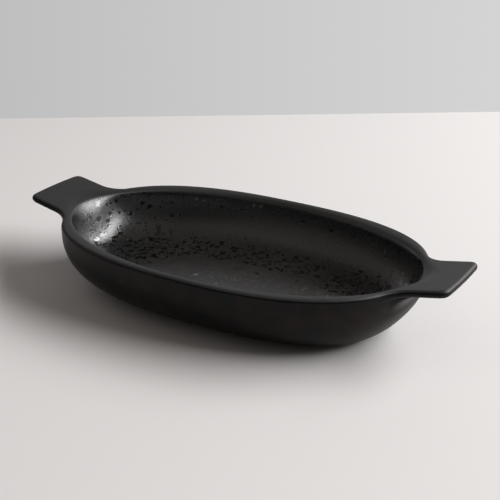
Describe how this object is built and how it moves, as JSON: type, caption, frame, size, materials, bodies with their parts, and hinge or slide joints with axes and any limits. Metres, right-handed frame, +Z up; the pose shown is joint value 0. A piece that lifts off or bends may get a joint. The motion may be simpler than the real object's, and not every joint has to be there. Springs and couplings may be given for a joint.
{
  "type": "oval eared dish",
  "caption": "Oval open serving and oven dish with a rolled rim, a flat ear at each end and a low foot ring.",
  "frame": {"origin": "middle of the plane that the dish stands on", "axes": "+X from the left ear to the right ear, +Y across the dish, +Z up"},
  "size_m": [0.341, 0.1724, 0.0564],
  "materials": {
    "glaze": "matt black reactive glaze with darker glossy spots",
    "bare_stoneware": "unglazed fired clay"
  },
  "bodies": {
    "root": {"dish_body": "glaze", "ear_left": "glaze", "ear_right": "glaze", "foot_ring": "bare_stoneware"}
  },
  "joints": []
}
